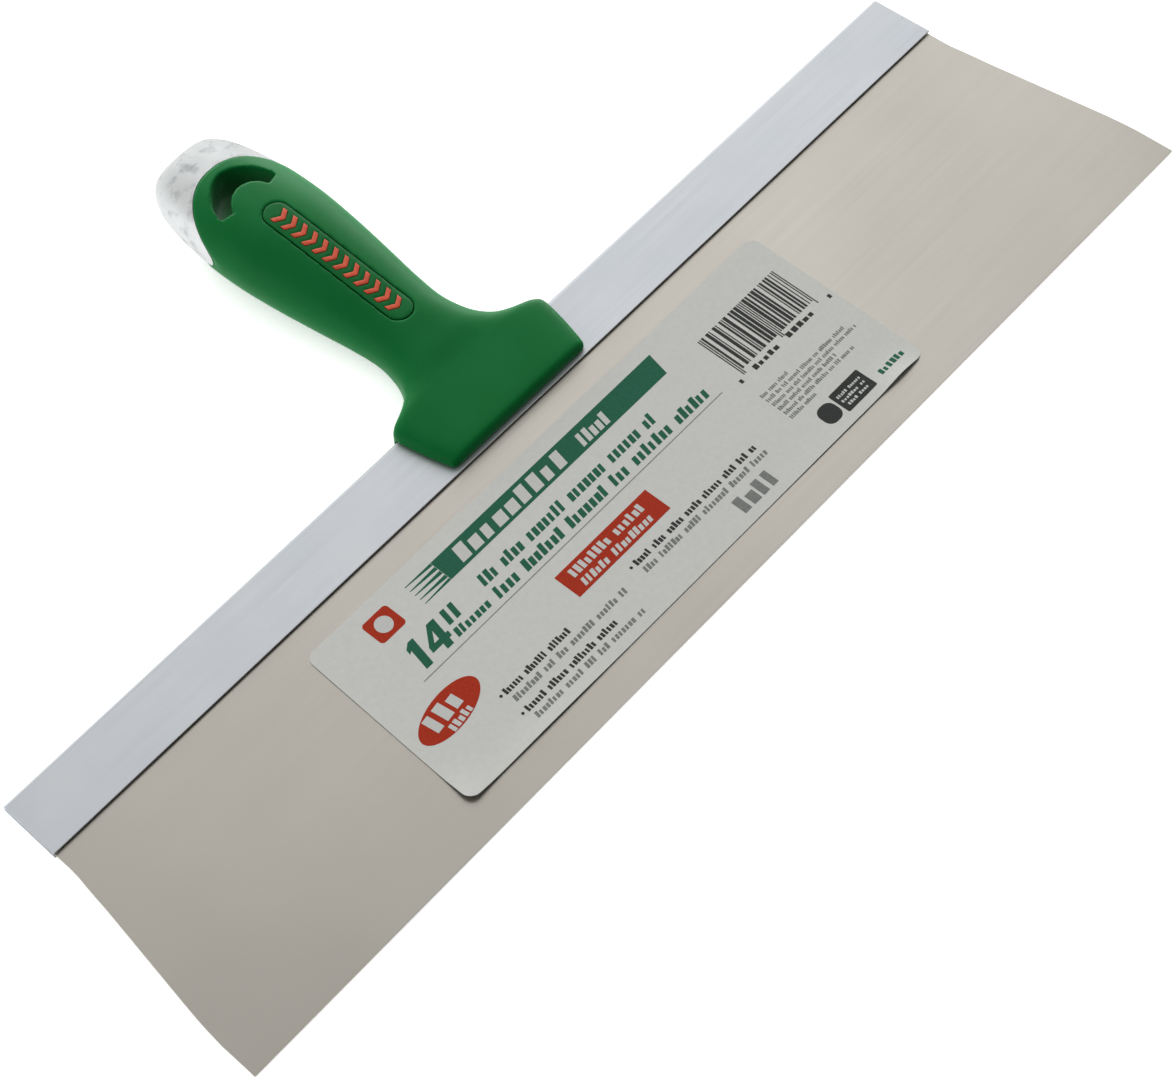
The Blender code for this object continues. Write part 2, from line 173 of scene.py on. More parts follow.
def rounded(corners, radius, steps=6):
    # the corners of a counter-clockwise outline, each replaced by an arc
    outline = []
    for i, corner in enumerate(corners):
        here = Vector(corner)
        toBefore = (Vector(corners[i - 1]) - here).normalized()
        toAfter = (Vector(corners[(i + 1) % len(corners)]) - here).normalized()
        halfAngle = toBefore.angle(toAfter) / 2
        centre = here + (toBefore + toAfter).normalized() * radius / math.sin(halfAngle)
        first = here + toBefore * radius / math.tan(halfAngle) - centre
        last = here + toAfter * radius / math.tan(halfAngle) - centre
        start = math.degrees(math.atan2(first.y, first.x))
        end = math.degrees(math.atan2(last.y, last.x))
        outline += arc(centre, radius, start, end + (360 if end < start else 0), steps)
    return outline


def powerArc(base, half, rise, power, start, steps):
    # the upper half of a superellipse, from right to left
    points = []
    for i in range(steps + 1):
        turn = math.radians(start + (180 - 2 * start) * i / steps)
        across = math.copysign(abs(math.cos(turn)) ** (2 / power), math.cos(turn))
        points.append((half * across, base + rise * abs(math.sin(turn)) ** (2 / power)))
    return points


def stepped(outline, pitch):
    # the same outline with no side longer than the pitch
    points = []
    for i, point in enumerate(outline):
        start, end = Vector(point), Vector(outline[(i + 1) % len(outline)])
        count = max(1, math.ceil((end - start).length / pitch))
        points += [tuple(start.lerp(end, k / count)) for k in range(count)]
    return points


# meshes

def placed(name, mesh):
    # an object at the knife's own origin
    piece = bpy.data.objects.new(name, mesh)
    bpy.context.scene.collection.objects.link(piece)
    piece.location = knifeOrigin
    return piece


def meshFrom(name, points, faces):
    # points in mm; the mesh is in metres with its faces outward
    mesh = bpy.data.meshes.new(name)
    mesh.from_pydata([[c * mm for c in p] for p in points], [], faces)
    shell = bmesh.new()
    shell.from_mesh(mesh)
    bmesh.ops.recalc_face_normals(shell, faces=shell.faces)
    shell.to_mesh(mesh)
    shell.free()
    return mesh


def insideOf(outlines, points):
    # which points lie inside, counting an outline within another as a hole
    points = np.asarray(points, float).reshape(-1, 2)
    inside = np.zeros(len(points), bool)
    for outline in outlines:
        for i, (x0, y0) in enumerate(outline):
            x1, y1 = outline[(i + 1) % len(outline)]
            if y0 == y1:
                continue
            crosses = (y0 > points[:, 1]) != (y1 > points[:, 1])
            inside ^= crosses & (points[:, 0] < x0 + (points[:, 1] - y0) * (x1 - x0) / (y1 - y0))
    return inside


def sheetMesh(name, outlines, pitch, top, bottom):
    # a closed plate: outlines inside others are holes, top and bottom give z at (x, y)
    rings = [stepped(outline, pitch) for outline in outlines]
    rim = np.array([p for ring in rings for p in ring])
    edges, start = [], 0
    for ring in rings:
        edges += [(start + i, start + (i + 1) % len(ring)) for i in range(len(ring))]
        start += len(ring)
    low, high = rim.min(0), rim.max(0)
    xs = np.arange(low[0] + pitch / 2, high[0], pitch)
    ys = np.arange(low[1] + pitch / 2, high[1], pitch)
    grid = np.array([(x, y) for y in ys for x in xs]).reshape(-1, 2)
    if len(grid):
        grid = grid[insideOf(rings, grid)]
    if len(grid):
        # those nearly on the rim would leave slivers
        clear = [np.hypot(*(rim - p).T).min() > 0.55 * pitch for p in grid]
        grid = grid[np.array(clear)]
    points = [Vector(p) for p in rim] + [Vector(p) for p in grid]
    verts, _, faces, *_ = delaunay_2d_cdt(points, edges, [], 0, 1e-6)
    centres = [sum((verts[i] for i in face), Vector((0, 0))) / 3 for face in faces]
    faces = [face for face, keep in zip(faces, insideOf(rings, centres)) if keep]
    count = len(verts)
    solid = [(v.x, v.y, top(v.x, v.y)) for v in verts] + [(v.x, v.y, bottom(v.x, v.y)) for v in verts]
    directed = {(face[i], face[(i + 1) % 3]) for face in faces for i in range(3)}
    sides = [(a, a + count, b + count, b) for a, b in directed if (b, a) not in directed]
    under = [[i + count for i in reversed(face)] for face in faces]
    return meshFrom(name, solid, faces + under + sides)


def prism(name, outlines, low, high):
    # a straight block; its pitch is longer than any side, so no points are added
    return placed(name, sheetMesh(name, outlines, 500, lambda x, y: high, lambda x, y: low))


def applied(piece):
    # the mesh as its modifiers leave it
    evaluated = piece.evaluated_get(bpy.context.evaluated_depsgraph_get())
    mesh = bpy.data.meshes.new_from_object(evaluated)
    piece.modifiers.clear()
    old, piece.data = piece.data, mesh
    bpy.data.meshes.remove(old)
    return piece


def combine(piece, operation, *tools):
    # the tools are used up
    for tool in tools:
        cut = piece.modifiers.new("cut", "BOOLEAN")
        cut.operation = operation
        cut.solver = "EXACT"
        cut.object = tool
    applied(piece)
    for tool in tools:
        bpy.data.objects.remove(tool)
    return piece


def moulded(piece, voxel, passes):
    # rebuilds the skin in small even faces and softens its edges as a mould does
    remesh = piece.modifiers.new("even", "REMESH")
    remesh.mode = "VOXEL"
    remesh.voxel_size = voxel * mm
    soften = piece.modifiers.new("soften", "SMOOTH")
    soften.factor = 0.5
    soften.iterations = passes
    return applied(piece)


def bevelled(piece, width):
    bevel = piece.modifiers.new("bevel", "BEVEL")
    bevel.width = width * mm
    bevel.segments = 2
    bevel.limit_method = "ANGLE"
    bevel.angle_limit = math.radians(40)
    return applied(piece)


def finishPiece(piece, materials, nodes=(), smoothAngle=35, flatFaces=False):
    # flatFaces keeps a flat sheet's faces free of shading from its rounded edges
    piece.data.materials.clear()
    for material in materials:
        piece.data.materials.append(material)
    piece.data.shade_smooth()
    piece.data.set_sharp_from_angle(angle=math.radians(smoothAngle))
    for face in piece.data.polygons:
        if flatFaces and max(abs(c) for c in face.normal) > 0.9999:
            face.use_smooth = False
    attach(piece, "root")
    if nodes:
        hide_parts(*nodes)
    return piece


# the handle's form, foot to butt: (y, half width, half thickness, squareness)
handle = {
    "rows": [
        (1.2, 24.2, 3.9, 6.0), (1.8, 25.2, 4.8, 6.0), (3.4, 25.8, 5.2, 6.0), (10.5, 27.5, 5.5, 6.0),
        (17.4, 28.7, 5.8, 5.6), (19.8, 28.5, 5.9, 5.2), (21.4, 26.7, 6.0, 4.8),
        (23.0, 23.0, 6.1, 4.2), (25.4, 18.8, 6.4, 3.6), (29.0, 15.8, 6.9, 3.1),
        (34.0, 13.9, 7.3, 2.7), (41.0, 12.9, 7.8, 2.5), (50.0, 13.6, 8.3, 2.4),
        (62.0, 15.2, 9.3, 2.35), (75.0, 16.8, 10.4, 2.3), (88.0, 17.8, 11.2, 2.3),
        (100.0, 17.8, 10.8, 2.3), (110.0, 16.9, 9.9, 2.35), (117.0, 15.5, 9.1, 2.4),
        (121.5, 13.8, 8.3, 2.5), (124.6, 11.8, 7.2, 2.6), (126.0, 10.2, 6.1, 2.7),
        (126.4, 9.1, 5.3, 2.7)],
    "pitch": 0.8,              # between the sections
    "around": 112,             # points in each section
    # where the rubber ends and the cap begins
    "archBase": 90.0, "archHalf": 18.0, "archRise": 23.5, "archPower": 2.15,
    # the crescent hang hole and the tongue under it
    "holeBase": 98.0, "holeHalf": 10.6, "holeRise": 12.2, "holePower": 1.8,
    "holeDraft": 0.7,          # the hole narrows by this much toward its middle
    "tongueY": 96.2, "tongueRadius": 6.4,
    "badgeFrom": 40.0, "badgeTo": 92.0, "badgeHalf": 4.1,
    "recessFrom": 1.0,         # the badge's recess starts this far from the middle
    "skinFoot": 1.5, "skinGrip": 2.5,      # the rubber's thickness at the foot and in the grip
    "skinFrom": 20, "skinOver": 15,        # where it starts to thicken, and over what length
    "liner": 1.5,              # rubber round the hang hole
    "slotGap": 0.2,            # round the strip
    "voxel": 0.42, "softening": 5,
}
far = 60                       # past every edge of the handle


def catmull(p0, p1, p2, p3, t):
    # a smooth curve through four values, from the second to the third
    return p1 + 0.5 * t * (p2 - p0 + t * (2 * p0 - 5 * p1 + 4 * p2 - p3 + t * (3 * (p1 - p2) + p3 - p0)))


def sectionRows(pitch):
    rows = handle["rows"]
    ends = [rows[0]] + rows + [rows[-1]]
    sampled = []
    for i in range(len(rows) - 1):
        steps = max(2, round((rows[i + 1][0] - rows[i][0]) / pitch))
        for k in range(steps):
            sampled.append(tuple(catmull(*(row[j] for row in ends[i:i + 4]), k / steps) for j in range(4)))
    return sampled + [rows[-1]]


def loftMesh(name, inset):
    # the handle's form, shrunk by inset(y) all round
    rows = sectionRows(handle["pitch"])
    bottom = rows[0][0] + inset(rows[0][0])
    top = rows[-1][0] - inset(rows[-1][0])
    rings = []
    for i, (y, half, thick, square) in enumerate(rows):
        before, after = rows[max(0, i - 1)], rows[min(len(rows) - 1, i + 1)]
        along = Vector((after[0] - before[0], after[1] - before[1])).normalized()
        depth = inset(y)
        at = min(max(y + along.y * depth, bottom), top)
        if not rings or at > rings[-1][0] + 0.05:
            rings.append((at, half - along.x * depth, thick - depth, square))
    count = handle["around"]
    points, faces = [], []
    for y, half, thick, square in rings:
        for k in range(count):
            turn = 2 * math.pi * (k + 0.5) / count
            x = math.copysign(abs(math.cos(turn)) ** (2 / square), math.cos(turn)) * half
            z = math.copysign(abs(math.sin(turn)) ** (2 / square), math.sin(turn)) * thick
            points.append((x, y, z))
    for r in range(len(rings) - 1):
        for k in range(count):
            a, b = r * count + k, r * count + (k + 1) % count
            faces.append((a, b, b + count, a + count))
    faces.append(list(range(count)))
    faces.append([len(points) - 1 - k for k in range(count)])
    return meshFrom(name, points, faces)


def skinAt(y):
    share = min(1, max(0, (y - handle["skinFrom"]) / handle["skinOver"]))
    return handle["skinFoot"] + (handle["skinGrip"] - handle["skinFoot"]) * share


rowTable = np.array(sectionRows(0.25))     # close rows, to read heights from


def gripHeight(x, y):
    # how high the grip's upper face is over (x, y)
    half, thick, square = (np.interp(y, rowTable[:, 0], rowTable[:, j]) for j in (1, 2, 3))
    return thick * max(0.0, 1 - (abs(x) / half) ** square) ** (1 / square)


def crescent(shrink=0.0):
    over = powerArc(handle["holeBase"], handle["holeHalf"] - shrink, handle["holeRise"] - shrink,
                    handle["holePower"], 6, 40)
    return over + arc((0, handle["tongueY"]), handle["tongueRadius"] + shrink, 170, 10, 28)


def pastArch(clearance):
    # everything from the arch toward the butt
    arch = powerArc(handle["archBase"], handle["archHalf"] + clearance, handle["archRise"] + clearance,
                    handle["archPower"], 0, 60)
    base = handle["archBase"]
    return (arch + [(-far, base), (-far, 3 * far), (far, 3 * far), (far, base)])[::-1]


def stadium(shrink=0.0):
    # the badge's outline
    half = handle["badgeHalf"]
    low, high = handle["badgeFrom"] + half, handle["badgeTo"] - half
    return arc((0, low), half - shrink, 180, 360, 16) + arc((0, high), half - shrink, 0, 180, 16)


# materials

# Thermoplastic rubber, moulded in a spark-eroded tool: a soft satin with a very fine grain, the
# green a little paler where the skin turns away.
rubber, tree, shader = newMaterial(
    "mouldedThermoplasticRubber", "#08642D", IOR=1.5, Specular_IOR_Level=0.06,
    Sheen_Weight=0.3, Sheen_Roughness=0.35)
place = objectPlace(tree)
clouds = noiseAt(tree, place, 18)
grain = noiseAt(tree, place, 0.35, detail=2.0)
shader.inputs["Sheen Tint"].default_value = linearColour("#7FD49C")
tree.links.new(mixColours(tree, clouds, "#07622B", "#0A6831"), shader.inputs["Base Color"])
tree.links.new(scaled(tree, clouds, 0.40, 0.48), shader.inputs["Roughness"])
addBump(tree, shader, grain, 0.02, 0.5)

# The same rubber in the badge plate, polished in its own small mould, so smoother.
plateRubber, tree, shader = newMaterial(
    "polishedBadgeRubber", "#08602B", IOR=1.5, Specular_IOR_Level=0.08)
place = objectPlace(tree)
clouds = noiseAt(tree, place, 9)
tree.links.new(mixColours(tree, clouds, "#075D29", "#0A642E"), shader.inputs["Base Color"])
tree.links.new(scaled(tree, clouds, 0.36, 0.44), shader.inputs["Roughness"])
addBump(tree, shader, noiseAt(tree, place, 0.3), 0.012, 0.4)

# Red-orange ABS, moulded: even colour with a low gloss and faint flow marks.
redAbs, tree, shader = newMaterial("mouldedRedAbs", "#C94A28", IOR=1.54, Specular_IOR_Level=0.25)
place = objectPlace(tree)
flow = noiseAt(tree, objectPlace(tree, (1, 0.3, 1)), 2.2)
tree.links.new(mixColours(tree, flow, "#C04426", "#D0502E"), shader.inputs["Base Color"])
tree.links.new(scaled(tree, flow, 0.35, 0.5), shader.inputs["Roughness"])
addBump(tree, shader, noiseAt(tree, place, 0.4), 0.01, 0.4)

# Zinc, die cast and tumbled bright: a soft mirror broken by shallow dents and dull patches.
zinc, tree, shader = newMaterial("tumbledDieCastZinc", "#C8CACA", Metallic=1.0)
place = objectPlace(tree)
dents = noiseAt(tree, place, 5.5, detail=4.0, roughness=0.6)
patches = noiseAt(tree, place, 4.2, detail=4.0, roughness=0.55, low=0.5, high=0.72)
tree.links.new(mixColours(tree, patches, "#CED0D0", "#A6A8A9"), shader.inputs["Base Color"])
tree.links.new(scaled(tree, dents, 0.5, 0.62), shader.inputs["Roughness"])
addBump(tree, shader, dents, 0.06, 0.3)

# Stainless strip steel, cold rolled to a satin face: long faint lines along the blade and a warm
# cast, with a cloudy film left from handling.
stainless, tree, shader = newMaterial("coldRolledStainless", "#AEAAA2", Metallic=1.0)
place = objectPlace(tree)
lines = noiseAt(tree, objectPlace(tree, (0.012, 1, 1)), 0.5, detail=4.0, low=0.2, high=0.8)
film = noiseAt(tree, place, 60, detail=2.0)
tree.links.new(mixColours(tree, film, "#ABA79F", "#B1ADA5"), shader.inputs["Base Color"])
tree.links.new(scaled(tree, lines, 0.34, 0.42), shader.inputs["Roughness"])
addBump(tree, shader, lines, 0.004, 0.3)

# Aluminium strip, folded and satin brushed along its length: cool, light and evenly dull.
aluminium, tree, shader = newMaterial("brushedAluminium", "#C8CCD0", Metallic=1.0)
lines = noiseAt(tree, objectPlace(tree, (0.008, 1, 1)), 0.4, detail=5.0, low=0.2, high=0.8)
clouds = noiseAt(tree, objectPlace(tree), 25)
tree.links.new(mixColours(tree, clouds, "#C6CACF", "#CBCED1"), shader.inputs["Base Color"])
tree.links.new(scaled(tree, lines, 0.48, 0.6), shader.inputs["Roughness"])
addBump(tree, shader, lines, 0.01, 0.4)

# The strip's sheared lower edge: torn and grey, with the shear's short upright lines.
shearedEdge, tree, shader = newMaterial("shearedAluminiumEdge", "#B0ACA2", Metallic=1.0, Roughness=0.7)
lines = noiseAt(tree, objectPlace(tree, (1, 1, 0.1)), 0.5)
tree.links.new(mixColours(tree, lines, "#9A958B", "#C2BEB4"), shader.inputs["Base Color"])
addBump(tree, shader, lines, 0.03, 0.5)

# Coated label paper: off-white, satin, with a faint fibre mottle.
labelPaper, tree, shader = newMaterial("coatedLabelPaper", "#DADDD6", IOR=1.48, Specular_IOR_Level=0.3)
place = objectPlace(tree)
fibre = noiseAt(tree, place, 1.2, detail=4.0)
tree.links.new(mixColours(tree, fibre, "#D8D9D4", "#DEDFD9"), shader.inputs["Base Color"])
tree.links.new(scaled(tree, fibre, 0.38, 0.46), shader.inputs["Roughness"])
addBump(tree, shader, fibre, 0.01, 0.2)


def inkMaterial(name, dark, light):
    # screen-printed ink: a thin even film whose colour is a little broken by the paper
    material, tree, shader = newMaterial(name, dark, IOR=1.5, Roughness=0.42, Specular_IOR_Level=0.12)
    speckle = noiseAt(tree, objectPlace(tree), 0.7, detail=4.0)
    tree.links.new(mixColours(tree, speckle, dark, light), shader.inputs["Base Color"])
    return material


inks = {
    "green": inkMaterial("greenPrintingInk", "#1F624A", "#266B52"),
    "red": inkMaterial("redPrintingInk", "#AE2C10", "#B93618"),
    "black": inkMaterial("blackPrintingInk", "#303331", "#3E413F"),
    "grey": inkMaterial("greyPrintingInk", "#7A7D7A", "#8E918E"),
    "white": inkMaterial("whitePrintingInk", "#D2D3CF", "#D8D9D5"),
}

# Glass-filled nylon core, moulded: near black with a dull pebbled skin.
nylon, tree, shader = newMaterial("glassFilledNylon", "#1A1C1C", IOR=1.53)
place = objectPlace(tree)
pebbles = noiseAt(tree, place, 0.6)
tree.links.new(mixColours(tree, pebbles, "#161818", "#222424"), shader.inputs["Base Color"])
tree.links.new(scaled(tree, pebbles, 0.5, 0.62), shader.inputs["Roughness"])
addBump(tree, shader, pebbles, 0.03, 0.4)

# Mild steel rivets and pins, turned and zinc plated: bright with fine rings.
platedSteel, tree, shader = newMaterial("zincPlatedSteel", "#A6A7A8", Metallic=1.0)
turned = noiseAt(tree, objectPlace(tree), 0.25, detail=4.0)
tree.links.new(mixColours(tree, turned, "#9C9D9E", "#B2B3B4"), shader.inputs["Base Color"])
tree.links.new(scaled(tree, turned, 0.26, 0.42), shader.inputs["Roughness"])
addBump(tree, shader, turned, 0.01, 0.4)
print("materials made")


# the soft grip

def drawnHole():
    # the hang hole's room, narrowest half way through as the mould's two halves leave it
    wide, narrow = crescent(), crescent(handle["holeDraft"])
    reach = max(thick for _, _, thick, _ in handle["rows"])
    rings = [(wide, -far), (wide, -reach), (narrow, 0), (wide, reach), (wide, far)]
    count = len(wide)
    points = [(x, y, z) for outline, z in rings for x, y in outline]
    faces = [(r * count + i, r * count + (i + 1) % count,
              (r + 1) * count + (i + 1) % count, (r + 1) * count + i)
             for r in range(len(rings) - 1) for i in range(count)]
    faces += [list(range(count)), list(range(len(points) - 1, len(points) - count - 1, -1))]
    return placed("hangHole", meshFrom("hangHole", points, faces))


def makeGrip():
    grip = placed("grip_skin", loftMesh("grip_skin", lambda y: 0))
    hangHole = drawnHole()
    archCut = prism("archCut", [pastArch(0)], -far, far)
    recesses = [prism("recessUp", [stadium()], handle["recessFrom"], far),
                prism("recessDown", [stadium()], -far, -handle["recessFrom"])]
    slotHigh = (stripHigh.z - stripLow.z) / 2 / mm + handle["slotGap"]
    slotTop = (stripHigh.y - stripLow.y) / mm + handle["slotGap"]
    stripSlot = prism("stripSlot", [[(-far, -far), (far, -far), (far, slotTop), (-far, slotTop)]],
                      -slotHigh, slotHigh)
    combine(grip, "DIFFERENCE", hangHole, archCut, stripSlot, *recesses)
    moulded(grip, handle["voxel"], handle["softening"])
    # the core's room, cut last so that the skin keeps its thickness
    cavity = placed("cavity", loftMesh("cavity", skinAt))
    combine(cavity, "DIFFERENCE", prism("liner", [grow(crescent(), handle["liner"])], -far, far))
    combine(grip, "DIFFERENCE", cavity)
    return finishPiece(grip, [rubber], ["soft_grip"], smoothAngle=60)


makeGrip()
print("grip made")


# the badge in both faces: a green plate with chevron windows over a red insert

badge = {
    "count": 12, "firstY": 43.8, "pitch": 3.75,
    "half": 2.5, "rise": 1.5, "stroke": 1.5,
    "plateThick": 1.2,
    "plateGap": 0.25,          # between the plate and the rubber round it
    "windowGap": 0.08,         # round each mark
    "proud": 0.12,             # the red marks stand this far out of the plate
    "root": 0.3,               # and reach this far below it
    "insertTop": 0.2, "insertFoot": 1.0,   # the red insert's faces, below the plate
    "insertInset": 0.6,
    "edge": 0.18,              # rounding of plate and marks
    "platePitch": 0.9, "markPitch": 0.7, "insertPitch": 1.5,   # spacing of the mesh
}


def chevron(index):
    y = badge["firstY"] + index * badge["pitch"]
    half, rise, stroke = badge["half"], badge["rise"], badge["stroke"]
    return [(-half, y + rise), (0, y), (half, y + rise),
            (half, y + rise + stroke), (0, y + stroke), (-half, y + rise + stroke)]


def makeBadge(side, sign):
    # drawn on the front face, and mirrored for the back
    windows = [grow(chevron(i), badge["windowGap"])[::-1] for i in range(badge["count"])]
    plate = placed(f"badge_plate_{side}", sheetMesh(
        "plate", [stadium(badge["plateGap"])] + windows, badge["platePitch"],
        lambda x, y: gripHeight(x, y), lambda x, y: gripHeight(x, y) - badge["plateThick"]))
    bevelled(plate, badge["edge"])
    marks = placed(f"badge_marks_{side}", sheetMesh(
        "marks", [chevron(i) for i in range(badge["count"])], badge["markPitch"],
        lambda x, y: gripHeight(x, y) + badge["proud"],
        lambda x, y: gripHeight(x, y) - badge["plateThick"] - badge["root"]))
    bevelled(marks, badge["edge"])
    insert = placed("insert", sheetMesh(
        "insert", [stadium(badge["insertInset"])], badge["insertPitch"],
        lambda x, y: gripHeight(x, y) - badge["plateThick"] - badge["insertTop"],
        lambda x, y: gripHeight(x, y) - badge["plateThick"] - badge["insertFoot"]))
    combine(marks, "UNION", insert)
    for piece in (plate, marks):
        if sign < 0:
            piece.data.transform(Matrix.Diagonal((1, 1, -1, 1)))
            piece.data.flip_normals()
    finishPiece(plate, [plateRubber], [f"badge_panel_{side}"])
    finishPiece(marks, [redAbs], [f"badge_insert_{side}"])


makeBadge("front", 1)
makeBadge("back", -1)
print("badges made")


# the striking cap

cap = {
    "inset": 0.3,              # the grip stands this proud of the metal
    "clear": 0.12,             # between the two along the arch
    "tang": [(-14, 82), (14, 82), (14, 112), (9, 118), (-9, 118), (-14, 112)],
    "tangHalfThick": 1.5,      # the cast plate that runs into the core
    "pinX": 8.5, "pinY": 87, "pinHole": 1.8,
    "holeGap": 1.8,            # round the hang hole, for core and rubber
    "voxel": 0.4, "softening": 4,
}


def makeCap():
    piece = placed("strike_cap", loftMesh("strike_cap", lambda y: cap["inset"]))
    moulded(piece, cap["voxel"], cap["softening"])
    # cut after it is softened, so that the thin edge over the grip stays clean
    combine(piece, "INTERSECT", prism("capRoom", [pastArch(cap["clear"])], -far, far))
    tang = prism("tang", [cap["tang"]], -cap["tangHalfThick"], cap["tangHalfThick"])
    combine(piece, "UNION", tang)
    hole = prism("holeRoom", [grow(crescent(), cap["holeGap"])], -far, far)
    pins = [prism("pinRoom", [drilled(x, cap["pinY"], cap["pinHole"])], -far, far)
            for x in (-cap["pinX"], cap["pinX"])]
    combine(piece, "DIFFERENCE", hole, *pins)
    return finishPiece(piece, [zinc], ["hammer_cap"], smoothAngle=50)


makeCap()
print("cap made")


# the folded backing strip

strip = {
    "footHalf": 168.6, "topHalf": 167.6, "height": 19.0,
    "halfThick": 1.15, "wall": 0.6,
    "edge": 0.16,
    "shearedTo": 0.3,          # the torn face of the lower edge ends here
    "rivetX": (-15, 0, 15), "rivetY": 11, "rivetRadius": 2.3,
}


def makeStrip():
    # a U folded over the blade's top, open at the lower edge and a little narrower at the fold
    outer, inner = strip["halfThick"], strip["halfThick"] - strip["wall"]
    foldY = strip["height"] - outer
    section = [(0, outer)] + arc((foldY, 0), outer, 90, -90, 20) + [(0, -outer), (0, -inner)]
    section += arc((foldY, 0), inner, -90, 90, 12) + [(0, inner)]
    points = []
    for side in (-1, 1):
        for y, z in section:
            half = strip["footHalf"] + (strip["topHalf"] - strip["footHalf"]) * y / strip["height"]
            points.append((side * half, y, z))
    count = len(section)
    faces = [(i, (i + 1) % count, (i + 1) % count + count, i + count) for i in range(count)]
    faces += [list(range(count)), list(range(2 * count - 1, count - 1, -1))]
    piece = placed("backing_channel", meshFrom("backing_channel", points, faces))
    holes = [prism("rivetRoom", [drilled(x, strip["rivetY"], strip["rivetRadius"])], -far, far)
             for x in strip["rivetX"]]
    combine(piece, "DIFFERENCE", *holes)
    bevelled(piece, strip["edge"])
    finishPiece(piece, [aluminium, shearedEdge], ["backing_strip"], flatFaces=True)
    for face in piece.data.polygons:
        if face.normal.y < -0.6 and face.center.y < strip["shearedTo"] * mm:
            face.material_index = 1


makeStrip()
print("strip made")


# the blade

blade = {
    # right side, cutting edge to the hidden top in the fold: (half width, y)
    "side": [(177.8, -76.2), (177.35, -65.0), (176.85, -60.0), (176.35, -56.0), (175.4, -50.0),
             (170.45, -20.0), (169.75, -15.0), (169.15, -11.0), (168.65, -8.0), (168.4, -5.0),
             (168.3, -2.0), (168.1, 2.0), (167.2, 17.4)],
    "edge": 0.07,
    "pitch": 12,               # spacing of the mesh
}


def makeBlade():
    right = blade["side"]
    outline = right + [(-x, y) for x, y in reversed(right)]
    holes = [drilled(x, strip["rivetY"], strip["rivetRadius"]) for x in strip["rivetX"]]
    piece = placed("blade_sheet", sheetMesh(
        "blade_sheet", [outline] + holes, blade["pitch"],
        lambda x, y: bladeFace, lambda x, y: -bladeFace))
    bevelled(piece, blade["edge"])
    finishPiece(piece, [stainless], ["blade"], flatFaces=True)


makeBlade()
print("blade made")


# the label and its print

label = {
    "corners": [(-93.4, -66.5), (81.5, -66.9), (81.5, -8.1), (-90.2, -7.8)],
    "radius": 3.0,
    "thick": 0.15,
    "lift": 0.15,              # of the film over the blade's face
    "cornerLift": 1.5, "cornerReach": 15,  # the lower left corner has come away
    # the lower edge has too, in one short wave and in low swells of (x, width, lift)
    "waveX": 72, "waveWidth": 6.5, "waveLift": 1.3, "waveReach": 9,
    "swells": [(-66, 24, 0.6), (48, 22, 0.2)],
    "ink": 0.02,               # thickness of a layer of print
    "inkStep": 1.4,            # each layer's top over the last, in thicknesses
    "pitch": 2.0,              # spacing of the mesh
}


def labelTop(x, y):
    low = label["corners"][0]
    corner = max(0, 1 - math.hypot(x - low[0], y - low[1]) / label["cornerReach"]) ** 2
    edge = max(0, 1 - (y - label["corners"][1][1]) / label["waveReach"]) ** 2
    wave = math.exp(-((x - label["waveX"]) / label["waveWidth"]) ** 2)
    swell = sum(lift * math.exp(-((x - at) / width) ** 2) for at, width, lift in label["swells"])
    lift = corner * label["cornerLift"] + edge * (wave * label["waveLift"] + swell)
    return bladeFace + label["lift"] + label["thick"] + lift


def makeLabel():
    outline = rounded(label["corners"], label["radius"])
    piece = placed("label_sheet", sheetMesh(
        "label_sheet", [outline], label["pitch"],
        labelTop, lambda x, y: labelTop(x, y) - label["thick"]))
    finishPiece(piece, [labelPaper], ["blade_label"])


def sheared(points, at, slant):
    # moved to a place and leaned to the right by slant, sideways over up
    return [(x + at[0] + y * slant, y + at[1]) for x, y in points]


def bar(left, low, right, high, slant=0.0):
    return sheared([(0, 0), (right - left, 0), (right - left, high - low), (0, high - low)],
                   (left, low), slant)


def wordRow(left, right, base, height, letters, seed, slant=0.0, words=(3, 8)):
    # a line of print as plain blocks, one for each letter
    dice = random.Random(seed)
    pitch = (right - left) / letters
    blocks, inWord = [], dice.randint(*words)
    for i in range(letters):
        if inWord == 0 and i < letters - 1:
            inWord = dice.randint(*words)
            continue
        inWord -= 1
        tall = height if dice.random() < 0.3 or i == 0 else height * 0.74
        width = pitch * dice.uniform(0.55, 0.78)
        blocks.append(bar(left + i * pitch, base, left + i * pitch + width, base + tall, slant))
    return blocks


def ellipse(centre, half, tilt, steps=48):
    angles = [2 * math.pi * i / steps for i in range(steps)]
    return rotated([(half[0] * math.cos(a), half[1] * math.sin(a)) for a in angles], centre, tilt)


def barCode(left, right, low, high, guardLow):
    # bars and gaps of one to four modules, with three longer guards, by a seeded draw
    dice = random.Random(11)
    modules = 95
    module = (right - left) / modules
    bars, at = [], 0
    while at < modules - 2:
        width = dice.choice((1, 1, 2, 2, 3))
        guard = at < 4 or 44 < at < 50 or at > 89
        width = 1 if guard else width
        foot = guardLow if guard else low
        bars.append(bar(left + at * module, foot, left + (at + width) * module, high))
        at += width + (1 if guard else dice.choice((1, 1, 2, 3)))
    return bars


